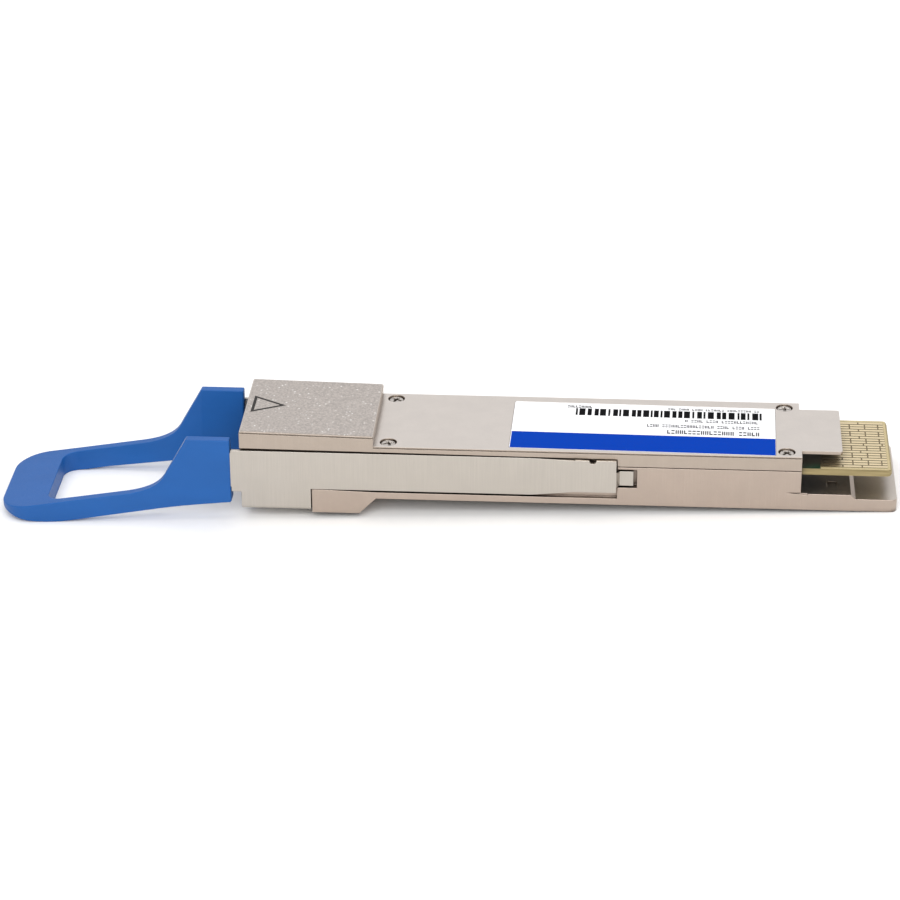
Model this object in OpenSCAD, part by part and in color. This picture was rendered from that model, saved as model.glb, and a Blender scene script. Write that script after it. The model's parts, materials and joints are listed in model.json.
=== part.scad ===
// Pluggable optical transceiver with a raised nose, a sliding side latch and a pull tab.
// X runs from the pull tab to the card edge, Y across the body, Z up to the lid.
// Modules draw in body coordinates: X = 0 at the nose face, Z = 0 at the flat underside.

/* [Housing] */
// Width of the metal body
body_w = 18.35; // [18.25:0.05:18.75]
// Height of the flat body, underside to lid
body_h = 8.5; // [8.3:0.05:8.8]
// Nose face to the end of the base
body_l = 95.8; // [95.5:0.1:97]
// Nose face to the end of the lid
lid_l = 81.8; // [81.6:0.1:82]
// Length of the raised nose block
nose_l = 19.4; // [18.6:0.1:19.6]
// Top of the nose block at its front
nose_front_z = 10.4; // [10:0.1:11]
// Top of the nose block at its rear
nose_rear_z = 10.05; // [9.6:0.05:10.5]
// Depth of the nose below the flat underside
nose_drop = 2.5; // [2.2:0.1:2.8]
// Height of the joint between base and cover
joint_z = 6.3; // [6.25:0.05:6.4]
// Length of the lid tongue over the card
tongue_l = 5.9; // [3:0.1:7]
// Width of the lid tongue
tongue_w = 14; // [10:0.5:15]

/* [Latch slider] */
// Sheet thickness of the slider
sheet_t = 0.5; // [0.4:0.05:0.55]
// Gap between the slider and the housing
slide_gap = 0.1; // [0.06:0.01:0.12]
// Nose face to the end of each latch arm
arm_l = 54.95; // [54:0.05:55]
// Lower edge of the latch arm
arm_low = 1.3; // [1.2:0.05:1.6]
// Upper edge of the latch arm
arm_high = 7.3; // [7.2:0.05:7.5]
// How far the arm end stands out past the body
flare = 0.55; // [0.4:0.05:0.8]
// Travel of the slider and pull tab
travel = 2.4; // [1:0.1:2.6]

/* [Pull tab] */
// Reach of the tab ahead of the nose face
tab_reach = 36.7; // [32:0.1:42]
// Width over the tab arms
tab_w = 18.6; // [18.4:0.05:19]
// Thickness of each tab arm
tab_arm_t = 1.4; // [1.2:0.05:1.8]
// Height of the tab arms above the flat underside
tab_top = 8.9; // [8:0.1:9.5]
// Thickness of the tab strap where it meets the arms
strap_t = 3.12; // [2.9:0.02:3.6]
// Fall of the strap per unit of length
strap_fall = 0.165; // [0.1:0.005:0.2]
// Length of the closed end of the loop
loop_end_l = 7.1; // [5:0.1:10]

/* [Circuit card] */
// Width of the card edge
card_w = 16.42; // [16.2:0.02:16.5]
// Thickness of the card
card_t = 1; // [0.9:0.05:1.1]
// Nose face to the card edge
card_end = 94.9; // [94.6:0.1:95.3]
// Spacing of the contact lines
pad_pitch = 0.8; // [0.75:0.01:0.82]
// Contact lines on each face of the card
pad_lines = 19; // [7:2:19]

/* [Optical port] */
// Width of the port opening
port_w = 12.8; // [12.6:0.1:13]
// Height of the port opening
port_h = 8; // [7.6:0.1:8.2]
// Spacing of the two guide pins
pin_spacing = 4.6; // [4.4:0.1:4.8]
// Radius of a guide pin
pin_r = 0.35; // [0.32:0.01:0.37]

/* [Hidden] */
$fn = 48;
eps = 0.01;

half_w = body_w / 2;
floor_t = 1;
ceiling_z = 7.5;
cavity_x = [26.2, 78.6];
cavity_w = 13.4;

// Gaskets: one strip above and one below the card, and one along each seam
gasket_x = [80.6, 81.5];
gasket_t = 0.3;
seam_x = [27, 54];
seam_y = [7.65, 8.15];
seam_depth = 0.4;

// Nose
web_gap = 0.2;
web_low = -2.2;
nose_pad_x = 10.25;
nose_foot_x = 17.2;
nose_front_low = web_low + sheet_t + web_gap;
port_z = 4.5;
port_l = 9;
receptacle_l = 8;
throat_x = port_l + receptacle_l;
throat_w = 6.8;
throat_h = 2.2;
edge_groove = 0.2;
edge_groove_drop = 0.32;
cover_lip = 0.3;
seam_gap = 0.15;

// Base end
tongue_floor_t = 2.6;
end_floor_t = 1.95;
step_x = 89.1;
end_corner_r = 0.9;

// Slider
recess_y = half_w - sheet_t - slide_gap;
slider_front = -1.65;
plate_notch_z = 0.6;
plate_deep_x = -0.2;
plate_rear_x = nose_pad_x - 0.15;
joggle_x = 42.6;
flat_end_x = 48.9;
end_low = 2.2;
end_high = 7.35;
tip_low = 3.1;
tip_high = 5.45;
tip_x = 57.45;
tip_bend_l = 0.5;
tip_y = half_w - 0.15;
pocket = [arm_l - travel - 0.4, 57.95];
pocket_z = [2.85, 5.8];
pocket_y = 8;
recess_end = arm_l + 0.13;

// Label
label_x = [39.3, 78.1];
label_y = [-8.5, 7.25];
label_turn = -0.8;
label_t = 0.06;
label_r = 0.3;

// Return springs
spring_r = 0.65;
spring_wire = 0.1;
spring_x = [3.7, 12.25];
spring_y = 7.85;
spring_z = 4.5;
spring_turns = 8;
spring_room = 0.15;
lug_t = 0.5;

// Card and what it carries
card_top = joint_z;
card_low = card_top - card_t;
card_front = 31;
card_wide_x = 58;
card_narrow_w = 14.6;
notch = [77.8, 81.4];
notch_y = 5.8;
card_gap = 0.1;
card_corner_r = 0.8;
pad_t = 0.04;
pad_w = 0.56;
pad_start = 84.7;
pad_end = card_end - 0.62;
pad_slit = 0.2;

// Screws
screw_x = [21.5, 79.6];
screw_y = 7.45;
screw_shank_r = 0.7;
screw_head_r = 1.12;
screw_top_z = 8.36;
screw_seat_r = 1.25;
screw_seat_z = 7.8;
screw_low = 2.6;

// Contact area of each main chip on the base floor
processor = [61, 73];
engine = [33.2, 47];
pedestal_top = 1.6;

// Tab strap: flat on top, and curving up under the closed end
strap_top_x = -17;
strap_top_z = -0.2;
under_fall = strap_fall + 0.013;
under_r = 22;
under_bend_x = 10.7 - tab_reach;
under_a = atan(under_fall);
function strap_z(x) = strap_top_z + strap_fall * (x - strap_top_x);
function under_z(x) = strap_top_z - strap_t + under_fall * (x - strap_top_x);
under_centre = [under_bend_x, under_z(under_bend_x)] + under_r * [-sin(under_a), cos(under_a)];

// Frame: origin under the middle of the bounding box
frame_x = (body_l - tab_reach) / 2;
frame_z = under_centre.y - under_r;

// ---------------------------------------------------------------- helpers

module in_frame() {
  translate([-frame_x, 0, -frame_z]) children();
}

// Box from its low and high corners
module box(low, high) {
  translate(low) cube(high - low);
}

// Box centred on Y
module slab(x, width, z) {
  box([x[0], -width / 2, z[0]], [x[1], width / 2, z[1]]);
}

// Extrudes an outline drawn in X and Z across the width
module across(width) {
  translate([0, width / 2, 0]) rotate([90, 0, 0]) linear_extrude(width) children();
}

// Extrudes an outline drawn in Y and Z along X
module along(x0, x1) {
  translate([x0, 0, 0]) rotate([90, 0, 90]) linear_extrude(x1 - x0) children();
}

// Cylinder along X
module rod(x0, x1, r) {
  translate([x0, 0, 0]) rotate([0, 90, 0]) cylinder(h = x1 - x0, r = r);
}

// Both sides of the body
module both_sides() {
  children();
  mirror([0, 1, 0]) children();
}

// Rectangle with round corners, made of exact arcs
module round_rect(low, high, r) {
  translate([low.x + r, low.y]) square([high.x - low.x - 2 * r, high.y - low.y]);
  translate([low.x, low.y + r]) square([high.x - low.x, high.y - low.y - 2 * r]);
  for (x = [low.x + r, high.x - r], y = [low.y + r, high.y - r]) {
    translate([x, y]) circle(r);
  }
}

// Points along an arc, in degrees
function arc(centre, r, a0, a1, steps) =
  [for (i = [0:steps]) centre + r * [cos(a0 + (a1 - a0) * i / steps), sin(a0 + (a1 - a0) * i / steps)]];

// ---------------------------------------------------------------- housing

// Space swept by the slider at both sides and under the nose
module slider_space() {
  both_sides() translate([0, half_w + 1, 0]) rotate([90, 0, 0]) linear_extrude(1 + sheet_t + slide_gap) {
    polygon([
      [-1, arm_low - 0.06], [12, arm_low - 0.06], [20, arm_low - 0.28],
      [recess_end, arm_low - 0.28], [recess_end, arm_high + 0.1],
      [45, arm_high + 0.1], [12, arm_high + 0.3], [-1, arm_high + 0.42]
    ]);
    translate([-1, -nose_drop - 1]) square([nose_pad_x + 1, nose_drop + 1 + arm_low]);
  }
  both_sides() box([pocket[0], pocket_y, pocket_z[0]], [pocket[1], half_w + 1, pocket_z[1]]);
}

// Groove that holds a return spring and lets the slider lug travel
module spring_grooves() {
  r = spring_r + spring_room;
  both_sides() box(
    [spring_x[0], spring_y - r, spring_z - r],
    [spring_x[1] + lug_t + 0.35, half_w + 1, spring_z + r]
  );
}

// Opening that takes the fibre plug, the receptacle and the ribbon
module port_space() {
  along(-1, throat_x) translate([0, port_z])
    round_rect([-port_w / 2, -port_h / 2], [port_w / 2, port_h / 2], 0.6);
  slab([-1, port_l - 2], 2.6, [port_z + port_h / 2 - eps, port_z + port_h / 2 + 0.45]);
  slab([throat_x - eps, 26.5], throat_w, [port_z - throat_h / 2, port_z + throat_h / 2]);
}

module screw_places() {
  for (x = screw_x, y = [-screw_y, screw_y]) {
    translate([x, y, 0]) children();
  }
}

// Outline of the card, grown by a gap for its pocket
module card_outline(gap) {
  difference() {
    union() {
      translate([card_front - gap, -card_narrow_w / 2 - gap])
        square([card_wide_x - card_front + 1, card_narrow_w + 2 * gap]);
      translate([card_wide_x - gap, -card_w / 2 - gap])
        square([card_end - card_wide_x - card_corner_r + 2 * gap, card_w + 2 * gap]);
      translate([card_wide_x - gap, -card_w / 2 + card_corner_r])
        square([card_end - card_wide_x + 2 * gap, card_w - 2 * card_corner_r]);
      for (side = [-1, 1]) {
        translate([card_end - card_corner_r, side * (card_w / 2 - card_corner_r)])
          circle(card_corner_r + gap);
      }
    }
    for (side = [-1, 1]) {
      translate([notch[0] + gap, side > 0 ? notch_y + gap : -card_w])
        square([notch[1] - notch[0] - 2 * gap, card_w - notch_y - gap]);
    }
  }
}

module base_outline() {
  polygon([
    [0, nose_front_low], [nose_pad_x, nose_front_low], [nose_pad_x, -nose_drop],
    [nose_foot_x, -nose_drop], [nose_foot_x + nose_drop, 0], [body_l, 0], [body_l, end_floor_t],
    [step_x + tongue_floor_t - end_floor_t, end_floor_t], [step_x, tongue_floor_t],
    [lid_l, tongue_floor_t], [lid_l, joint_z], [0, joint_z]
  ]);
}

// Round marks left by the casting tool's ejector pins
module ejector_marks() {
  for (x = [26, 76], y = [-5.5, 5.5]) {
    translate([x, y, -1]) cylinder(h = 1.1, r = 1.2);
  }
  translate([86.45, -5.9, tongue_floor_t - 0.12]) {
    linear_extrude(1) round_rect([-0.75, -1.0], [0.75, 1.0], 0.4);
  }
}

module base_cavity() {
  slab(cavity_x, cavity_w, [floor_t, card_low + eps]);
  translate([0, 0, card_low]) linear_extrude(joint_z) card_outline(card_gap);
  slab([cavity_x[0], card_front + 1], cavity_w, [card_low, joint_z + 1]);
  slab(gasket_x, 12, [card_low - gasket_t, card_low + eps]);
}

// Floor pads under the two hot chips, and posts for the card screws
module base_posts() {
  slab([engine[0] + 1, engine[1] - 1], 10, [floor_t - eps, pedestal_top]);
  slab([processor[0], processor[1]], 12, [floor_t - eps, pedestal_top]);
  card_screw_places() translate([0, 0, floor_t - eps]) cylinder(h = card_low - floor_t + eps, r = 0.9);
}

module base_shell() {
  color([0.74, 0.68, 0.62]) in_frame() difference() {
    union() {
      difference() {
        across(body_w) base_outline();
        slider_space();
        spring_grooves();
        port_space();
        base_cavity();
      }
      base_posts();
    }
    ejector_marks();
    both_sides() seam_groove();
    both_sides() relief_slit();
    both_sides() box([recess_end, half_w - 0.2, joint_z - seam_gap], [lid_l + 1, half_w + 1, joint_z + 1]);
    both_sides() base_end_corner();
    screw_places() translate([0, 0, screw_low]) cylinder(h = joint_z, r = screw_shank_r);
    card_screw_places() translate([0, 0, card_low - 1.8]) cylinder(h = 3, r = 0.4);
  }
}

module base_end_corner() {
  difference() {
    box([body_l - end_corner_r, half_w - end_corner_r, -1], [body_l + 1, half_w + 1, joint_z]);
    translate([body_l - end_corner_r, half_w - end_corner_r, -2]) cylinder(h = joint_z + 3, r = end_corner_r);
  }
}

// Pointed slit in the side wall where the lid ends
module relief_slit() {
  translate([0, half_w + 1, 0]) rotate([90, 0, 0]) linear_extrude(1.25)
    polygon([[79.7, 2.68], [lid_l + 1, 2.42], [lid_l + 1, 2.9]]);
}

// Groove for the conductive seam gasket in the side wall
module seam_groove() {
  box([seam_x[0], seam_y[0], joint_z - seam_depth], [seam_x[1], seam_y[1], joint_z + 1]);
}

// Height of the nose block's tilted top
function nose_top(x) = nose_front_z + (nose_rear_z - nose_front_z) * x / nose_l;
nose_tilt = atan((nose_front_z - nose_rear_z) / nose_l);

module cover_outline() {
  c = 0.15;
  polygon([
    [-cover_lip, joint_z], [lid_l, joint_z], [lid_l, body_h], [nose_l, body_h],
    [nose_l, nose_rear_z - c], [nose_l - c, nose_top(nose_l - c)],
    [c - cover_lip, nose_top(c - cover_lip)], [-cover_lip, nose_top(-cover_lip) - c]
  ]);
}

// Fine groove under the top edge, on the lid and on the tilted nose block
module edge_grooves() {
  both_sides() {
    box(
      [nose_l, half_w - edge_groove, body_h - edge_groove_drop],
      [lid_l + 1, half_w + 1, body_h - edge_groove_drop + edge_groove]
    );
    translate([0, half_w - edge_groove, nose_front_z - edge_groove_drop]) rotate([0, nose_tilt, 0])
      translate([-1, 0, 0]) cube([nose_l + 1, 1, edge_groove]);
  }
}

module cover_tongue() {
  r = 0.4;
  translate([0, 0, body_h - 0.5]) linear_extrude(0.5) {
    translate([lid_l - 1, -tongue_w / 2]) square([tongue_l + 1 - r, tongue_w]);
    translate([lid_l - 1, -tongue_w / 2 + r]) square([tongue_l + 1, tongue_w - 2 * r]);
    for (side = [-1, 1]) {
      translate([lid_l + tongue_l - r, side * (tongue_w / 2 - r)]) circle(r);
    }
  }
}

module top_cover() {
  color([0.8, 0.77, 0.73]) in_frame() {
    difference() {
      union() {
        across(body_w) cover_outline();
        cover_tongue();
      }
      slider_space();
      port_space();
      edge_grooves();
      label_recess();
      slab([cavity_x[0], 77.4], cavity_w + 0.2, [joint_z - eps, ceiling_z]);
      slab(gasket_x, 12, [joint_z - eps, joint_z + gasket_t]);
      screw_places() translate([0, 0, joint_z - 1]) cylinder(h = body_h, r = screw_shank_r);
      screw_places() translate([0, 0, screw_seat_z]) cylinder(h = body_h, r = screw_seat_r);
      card_screw_places() translate([0, 0, joint_z - eps]) cylinder(h = 0.6, r = 0.9);
    }
  }
}

module cover_screws() {
  color([0.62, 0.6, 0.57]) in_frame() screw_places() {
    difference() {
      union() {
        translate([0, 0, screw_low]) cylinder(h = screw_seat_z - screw_low + eps, r = screw_shank_r);
        translate([0, 0, screw_seat_z]) cylinder(h = screw_top_z - screw_seat_z, r = screw_head_r);
      }
      for (turn = [20, 110]) {
        rotate([0, 0, turn]) translate([-0.75, -0.14, screw_top_z - 0.3]) cube([1.5, 0.28, 1]);
      }
    }
  }
}

// Outline of the label, applied a little askew, grown by a gap for its recess
module label_outline(gap) {
  size = [label_x[1] - label_x[0], label_y[1] - label_y[0]] / 2 + [gap, gap];
  translate([label_x[0] + label_x[1], label_y[0] + label_y[1]] / 2) rotate(label_turn)
    round_rect(-size, size, label_r);
}

// Label, let into the lid so that the lid's face stays flat
module label_sheet() {
  color([0.96, 0.96, 0.96]) in_frame() translate([0, 0, body_h - label_t])
    linear_extrude(label_t) label_outline(0);
}

module label_recess() {
  translate([0, 0, body_h - label_t]) linear_extrude(1) label_outline(0.04);
}

// Foil plate on the nose block
module nose_plate() {
  inset = 0.2;
  low = [inset - cover_lip, inset - half_w];
  high = [nose_l - inset, half_w - inset];
  color([0.72, 0.69, 0.66]) in_frame() translate([0, 0, nose_front_z]) rotate([0, nose_tilt, 0])
    linear_extrude(0.06) round_rect(low, high, 0.2);
}

// ---------------------------------------------------------------- circuit card

module circuit_card() {
  bevel = 0.25;
  color([0.07, 0.32, 0.17]) in_frame() difference() {
    intersection() {
      translate([0, 0, card_low]) linear_extrude(card_t) card_outline(0);
      across(card_w + 2) polygon([
        [0, card_low], [card_end - bevel, card_low], [card_end, card_low + bevel],
        [card_end, card_top - bevel], [card_end - bevel, card_top], [0, card_top]
      ]);
    }
    card_screw_places() translate([0, 0, card_low - 1]) cylinder(h = 3, r = 0.5);
  }
}

// Ends of the gaps between contacts: signal lines, ground lines and the middle line
signal_slits = [89.2, 91.45, 93.4];
ground_slits = [87.7, 90.5];
middle_slits = [87.7, 91, 93.75];
function line_slits(i) =
  i % 3 > 0 ? signal_slits : i == (pad_lines - 1) / 2 ? middle_slits : ground_slits;
function line_starts(i) = concat([pad_start], [for (x = line_slits(i)) x + pad_slit]);
function line_stops(i) = concat(line_slits(i), [pad_end]);

// Contacts of one face whose start lies between two stations
module contacts(z, from_x, to_x) {
  color([0.86, 0.72, 0.4]) in_frame() for (i = [0:pad_lines - 1]) {
    y = (i - (pad_lines - 1) / 2) * pad_pitch;
    for (k = [0:len(line_starts(i)) - 1]) {
      start = line_starts(i)[k];
      if (start >= from_x && start < to_x) {
        box([start, y - pad_w / 2, z], [line_stops(i)[k], y + pad_w / 2, z + pad_t]);
      }
    }
  }
}

contact_split = 89;

module contacts_top_inner() {
  contacts(card_top, 0, contact_split);
}

module contacts_top_outer() {
  contacts(card_top, contact_split, card_end);
}

module contacts_bottom_inner() {
  contacts(card_low - pad_t, 0, contact_split);
}

module contacts_bottom_outer() {
  contacts(card_low - pad_t, contact_split, card_end);
}

module card_screw_places() {
  for (side = [-1, 1]) {
    translate([49.4, side * 6.2, 0]) children();
  }
}

module card_screws() {
  color([0.6, 0.6, 0.62]) in_frame() card_screw_places() difference() {
    union() {
      translate([0, 0, card_low - 1.8]) cylinder(h = card_t + 1.8 + eps, r = 0.4);
      translate([0, 0, card_top]) cylinder(h = 0.4, r = 0.8);
    }
    translate([-0.5, -0.1, card_top + 0.2]) cube([1, 0.2, 1]);
  }
}

// ---------------------------------------------------------------- electronics under the card

// Chip hanging from the underside of the card
module chip(x, y, thickness) {
  box([x[0], y[0], card_low - thickness], [x[1], y[1], card_low]);
}

module processor_substrate() {
  color([0.1, 0.25, 0.13]) in_frame() chip([processor[0] - 0.6, processor[1] + 0.6], [-6.4, 6.4], 1);
}

module processor_lid() {
  top = card_low - 1;
  color([0.7, 0.71, 0.72]) in_frame() {
    slab([processor[0], processor[1]], 11.6, [top - 0.7, top]);
    slab([processor[0] + 0.8, processor[1] - 0.8], 10, [top - 1.2, top - 0.7]);
  }
}

module processor_thermal_pad() {
  color([0.45, 0.55, 0.62]) in_frame()
    slab([processor[0] + 0.8, processor[1] - 0.8], 10, [pedestal_top, card_low - 2.2]);
}

module engine_carrier() {
  color([0.85, 0.84, 0.78]) in_frame() chip(engine, [-5.6, 5.6], 0.4);
}

module photonic_chip() {
  z = card_low - 0.4;
  color([0.3, 0.32, 0.42]) in_frame() slab([36.4, 43], 5, [z - 0.35, z]);
}

module fibre_coupler() {
  z = card_low - 0.4;
  color([0.75, 0.82, 0.85]) in_frame() difference() {
    slab([34, 36.3], 4.2, [z - 0.9, z]);
    slab([33.9, 35], 3.2, [port_z - 0.15, port_z + 0.15]);
  }
}

module laser_diodes() {
  z = card_low - 0.4;
  color([0.82, 0.68, 0.36]) in_frame() for (i = [0:3]) {
    x = 36.6 + i * 1.6;
    both_sides() box([x, 3.2, z - 0.5], [x + 1.1, 4.6, z]);
  }
}

module driver_chips() {
  z = card_low - 0.4;
  color([0.16, 0.16, 0.18]) in_frame() both_sides()
    box([43.6, 0.4, z - 0.4], [46, 4.8, z]);
}

// Cap over the optical engine, open towards the ribbon
module engine_lid() {
  top = card_low - 0.4;
  low = card_low - 1.9;
  color([0.78, 0.77, 0.74]) in_frame() difference() {
    slab([engine[0] + 0.2, engine[1] - 0.2], 10.6, [low, top]);
    slab([engine[0] + 0.7, engine[1] - 0.7], 9.6, [low + 0.4, top + 1]);
    slab([engine[0] - 1, engine[0] + 1], 4.4, [low + 0.4, top + 1]);
  }
}

module engine_thermal_pad() {
  color([0.55, 0.6, 0.5]) in_frame()
    slab([engine[0] + 1, engine[1] - 1], 10, [pedestal_top, card_low - 1.9]);
}

module microcontroller() {
  color([0.12, 0.12, 0.13]) in_frame() chip([50.5, 55.5], [-2.5, 2.5], 0.9);
}

module memory_chip() {
  color([0.12, 0.12, 0.13]) in_frame() chip([56.3, 58.5], [-4.6, -2], 0.8);
}

module power_regulators() {
  color([0.14, 0.14, 0.15]) in_frame() both_sides() chip([74.8, 77.4], [1, 4], 0.8);
}

module inductors() {
  color([0.35, 0.34, 0.33]) in_frame() for (i = [0:1]) {
    both_sides() chip([50.2 + i * 2.9, 52.6 + i * 2.9], [3.1, 5.5], 1.3);
  }
}

module capacitors_lower() {
  color([0.7, 0.6, 0.45]) in_frame() for (i = [0:4]) {
    both_sides() chip([47.7, 48.7], [0.3 + i * 1.1, 0.9 + i * 1.1], 0.5);
  }
}

module capacitors_upper() {
  color([0.7, 0.6, 0.45]) in_frame() for (i = [0:5], row = [0:1]) {
    both_sides() box(
      [60.5 + i * 2.2, 1.2 + row * 2.6, card_top],
      [61.6 + i * 2.2, 1.9 + row * 2.6, card_top + 0.55]
    );
  }
}

module clock_oscillator() {
  color([0.78, 0.76, 0.7]) in_frame() chip([56.3, 58.8], [1.2, 3.2], 0.8);
}

// ---------------------------------------------------------------- optics in the nose

ferrule_x = 7;
ferrule_w = 6.4;
ferrule_h = 2.5;
pin_out = 1.7;
pin_neck_r = pin_r - 0.2;

module fibre_ribbon() {
  color([0.35, 0.75, 0.8]) in_frame() slab([15, 35], 3.2, [port_z - 0.15, port_z + 0.15]);
}

module mt_ferrule() {
  color([0.22, 0.25, 0.24]) in_frame() difference() {
    union() {
      slab([ferrule_x, 15], ferrule_w, [port_z - ferrule_h / 2, port_z + ferrule_h / 2]);
      slab([13, 15], 7.4, [port_z - 1.7, port_z + 1.7]);
    }
    pin_places() rod(ferrule_x - 1, 13, pin_neck_r);
  }
}

module pin_places() {
  for (side = [-1, 1]) {
    translate([0, side * pin_spacing / 2, port_z]) children();
  }
}

module guide_pins() {
  tip = 0.3;
  color([0.8, 0.8, 0.8]) in_frame() pin_places() {
    rod(ferrule_x - pin_out, ferrule_x, pin_r);
    rod(ferrule_x - eps, 13, pin_neck_r);
    translate([ferrule_x - pin_out - tip, 0, 0]) rotate([0, 90, 0])
      cylinder(h = tip, r1 = 0.12, r2 = pin_r);
  }
}

// Spring plate that holds the ferrule's flange against the receptacle
module ferrule_clip() {
  color([0.75, 0.74, 0.72]) in_frame() difference() {
    slab([15, 15.4], 9, [port_z - 2.4, port_z + 2.4]);
    slab([14, 16], 3.6, [port_z - 0.4, port_z + 0.4]);
  }
}

module port_receptacle() {
  front = [-port_w / 2, -port_h / 2];
  color([0.12, 0.12, 0.13]) in_frame() {
    difference() {
      along(port_l, throat_x) translate([0, port_z]) round_rect(front, -front, 0.6);
      slab([port_l - 1, throat_x + 1], ferrule_w, [port_z - ferrule_h / 2, port_z + ferrule_h / 2]);
      slab([13, throat_x + 1], 7.4, [port_z - 1.7, port_z + 1.7]);
      slab([15, throat_x + 1], 9, [port_z - 2.4, port_z + 2.4]);
    }
    both_sides() {
      box([3.6, 5, port_z - 1.5], [port_l + eps, 5.8, port_z + 1.5]);
      translate([0, 0, port_z - 1.5]) linear_extrude(3)
        polygon([[3.6, 5 + eps], [3.9, 4.4], [4.7, 4.4], [5.2, 5 + eps]]);
    }
  }
}

// ---------------------------------------------------------------- gaskets

module card_gasket_upper() {
  color([0.2, 0.2, 0.21]) in_frame() slab(gasket_x, 11.4, [card_top, card_top + gasket_t]);
}

module card_gasket_lower() {
  color([0.2, 0.2, 0.21]) in_frame() slab(gasket_x, 11.4, [card_low - gasket_t, card_low]);
}

module seam_gaskets() {
  color([0.25, 0.25, 0.26]) in_frame() both_sides()
    box([seam_x[0], seam_y[0], joint_z - seam_depth], [seam_x[1], seam_y[1], joint_z]);
}

// ---------------------------------------------------------------- latch

// Coil spring along X, swept as one closed solid
module coil(x0, x1, r, wire, turns) {
  sides = 6;
  per_turn = 12;
  n = turns * per_turn;
  pitch = (x1 - x0 - 2 * wire) / turns;
  ring = [
    for (i = [0:n], k = [0:sides - 1])
      let (a = 360 * i / per_turn, b = 360 * k / sides, rr = r - wire + wire * cos(b))
        [x0 + wire + pitch * i / per_turn + wire * sin(b), rr * cos(a), rr * sin(a)]
  ];
  walls = [
    for (i = [0:n - 1], k = [0:sides - 1], half = [0, 1])
      let (a = i * sides + k, b = i * sides + (k + 1) % sides)
        half == 0 ? [a, b, b + sides] : [a, b + sides, a + sides]
  ];
  start_cap = [for (k = [sides - 1:-1:0]) k];
  end_cap = [for (k = [0:sides - 1]) n * sides + k];
  polyhedron(points = ring, faces = concat(walls, [start_cap, end_cap]));
}

module return_spring(side) {
  color([0.7, 0.7, 0.72]) in_frame() translate([0, side * spring_y, spring_z])
    coil(spring_x[0], spring_x[1], spring_r, spring_wire, spring_turns);
}

module return_spring_left() {
  return_spring(1);
}

module return_spring_right() {
  return_spring(-1);
}

// Strip of sheet drawn by its outer face in X and Y
module bent_strip(z, outer) {
  n = len(outer);
  inner = [for (i = [n - 1:-1:0]) outer[i] - [0, sheet_t]];
  translate([0, 0, z[0]]) linear_extrude(z[1] - z[0]) polygon(concat(outer, inner));
}

module latch_side() {
  out_y = half_w + flare;
  translate([0, half_w, 0]) rotate([90, 0, 0]) linear_extrude(sheet_t) polygon([
    [slider_front, plate_notch_z], [plate_deep_x, plate_notch_z], [plate_deep_x, web_low + 1],
    [plate_rear_x, web_low + 1], [plate_rear_x, arm_low], [joggle_x, arm_low],
    [joggle_x, arm_high], [slider_front, arm_high]
  ]);
  difference() {
    intersection() {
      bent_strip([arm_low, end_high], [
        [joggle_x - eps, half_w], [flat_end_x, out_y], [arm_l, out_y],
        [arm_l + tip_bend_l, tip_y], [tip_x, tip_y]
      ]);
      across(3 * body_w) arm_end_outline();
    }
    translate([51.5, 0, end_high]) rotate([-90, 0, 0]) cylinder(h = body_w, r = 0.5);
  }
  box([spring_x[1] + 0.05, spring_y - spring_r + 0.05, spring_z - spring_r], [
    spring_x[1] + 0.05 + lug_t, half_w - sheet_t + eps, spring_z + spring_r
  ]);
  box([-6.4, half_w - sheet_t, 1.4], [slider_front + eps, half_w, 6.9]);
}

// Side outline of the arm's end: joggle, flat end and tip
module arm_end_outline() {
  polygon([
    [joggle_x - 1, arm_low], [joggle_x, arm_low], [flat_end_x, end_low], [arm_l, end_low], [arm_l, tip_low],
    [tip_x, tip_low], [tip_x, tip_high], [arm_l, tip_high], [arm_l, end_high], [flat_end_x, end_high],
    [flat_end_x, arm_high], [joggle_x - 1, arm_high]
  ]);
}

// Cross-section of the web under the nose, with its two bends
module web_section() {
  r = 0.6;
  difference() {
    translate([0, web_low]) round_rect([-half_w, 0], [half_w, 3], r);
    translate([0, web_low]) {
      round_rect([sheet_t - half_w, sheet_t], [half_w - sheet_t, 4], r - sheet_t);
    }
    translate([-body_w, web_low + 1]) square([2 * body_w, 4]);
  }
}

module latch_slider() {
  color([0.8, 0.78, 0.74]) in_frame() {
    both_sides() latch_side();
    difference() {
      along(plate_deep_x, plate_rear_x) web_section();
      for (side = [-1, 1]) {
        translate([5, side * 4.6, web_low - 1]) cylinder(h = 3, r = 0.9);
      }
    }
  }
}

// ---------------------------------------------------------------- pull tab

// Side outline of the tab: tall arm at the rear, strap falling towards the front
module tab_profile() {
  rear = slider_front - 0.05;
  knee = [-11.3, 3];
  top_blend = [for (t = [0:0.125:1])
    (1 - t) * (1 - t) * knee + 2 * t * (1 - t) * [-12.6, strap_z(-12.6)] + t * t * [-17.5, strap_z(-17.5)]
  ];
  heel = [-9.6, under_z(-9.6)];
  toe = [rear, heel.y + 0.107 * (rear - heel.x)];
  low_blend = [for (t = [0:0.25:1])
    (1 - t) * (1 - t) * [-12.5, under_z(-12.5)] + 2 * t * (1 - t) * heel + t * t * (heel + 0.4 * (toe - heel))
  ];
  end_a = asin((tab_reach + under_centre.x) / under_r);
  polygon(concat(
    [[rear, tab_top], [-8, tab_top]],
    top_blend,
    [[-tab_reach, strap_z(-tab_reach)]],
    arc(under_centre, under_r, -90 - end_a, -90 + under_a, 12),
    low_blend,
    [toe]
  ));
}

// Plan of the loop, open towards the nose
module tab_plan() {
  inner = tab_w / 2 - tab_arm_t;
  difference() {
    round_rect([-tab_reach, -tab_w / 2], [6, tab_w / 2], 4.6);
    round_rect([loop_end_l - tab_reach, -inner], [12, inner], 2.2);
  }
}

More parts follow.
